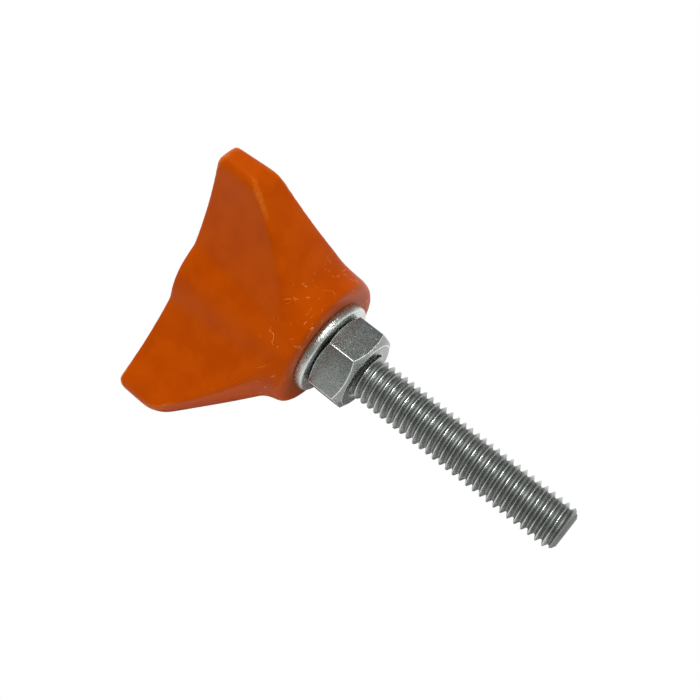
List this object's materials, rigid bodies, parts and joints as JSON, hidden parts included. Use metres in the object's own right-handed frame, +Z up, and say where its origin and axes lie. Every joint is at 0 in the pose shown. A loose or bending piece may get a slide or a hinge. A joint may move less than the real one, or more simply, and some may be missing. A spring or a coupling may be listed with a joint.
{
  "type": "wing screw",
  "caption": "Wing screw with a moulded star-shaped hand head, a projecting M6 threaded stud, and a flat washer and hexagon nut run up tight under the head.",
  "frame": {"origin": "middle of the floor under the whole screw as it lies at rest: the bounding box's bottom centre", "axes": "+Z up; +X along the screw from the head towards the stud's free end, level; the stud dips about ten degrees below +X, because the screw lies on two wing tips and the stud's end; the third wing points up"},
  "size_m": [0.056, 0.036, 0.032],
  "materials": {
    "orange_plastic": "moulded, satin",
    "stud_steel": "bright zinc plated, rolled thread",
    "washer_steel": "bright zinc plated",
    "nut_steel": "bright zinc plated"
  },
  "bodies": {
    "root": {"wing_head": "orange_plastic", "threaded_stud": "stud_steel", "washer": "washer_steel", "hex_nut": "nut_steel"}
  },
  "joints": []
}
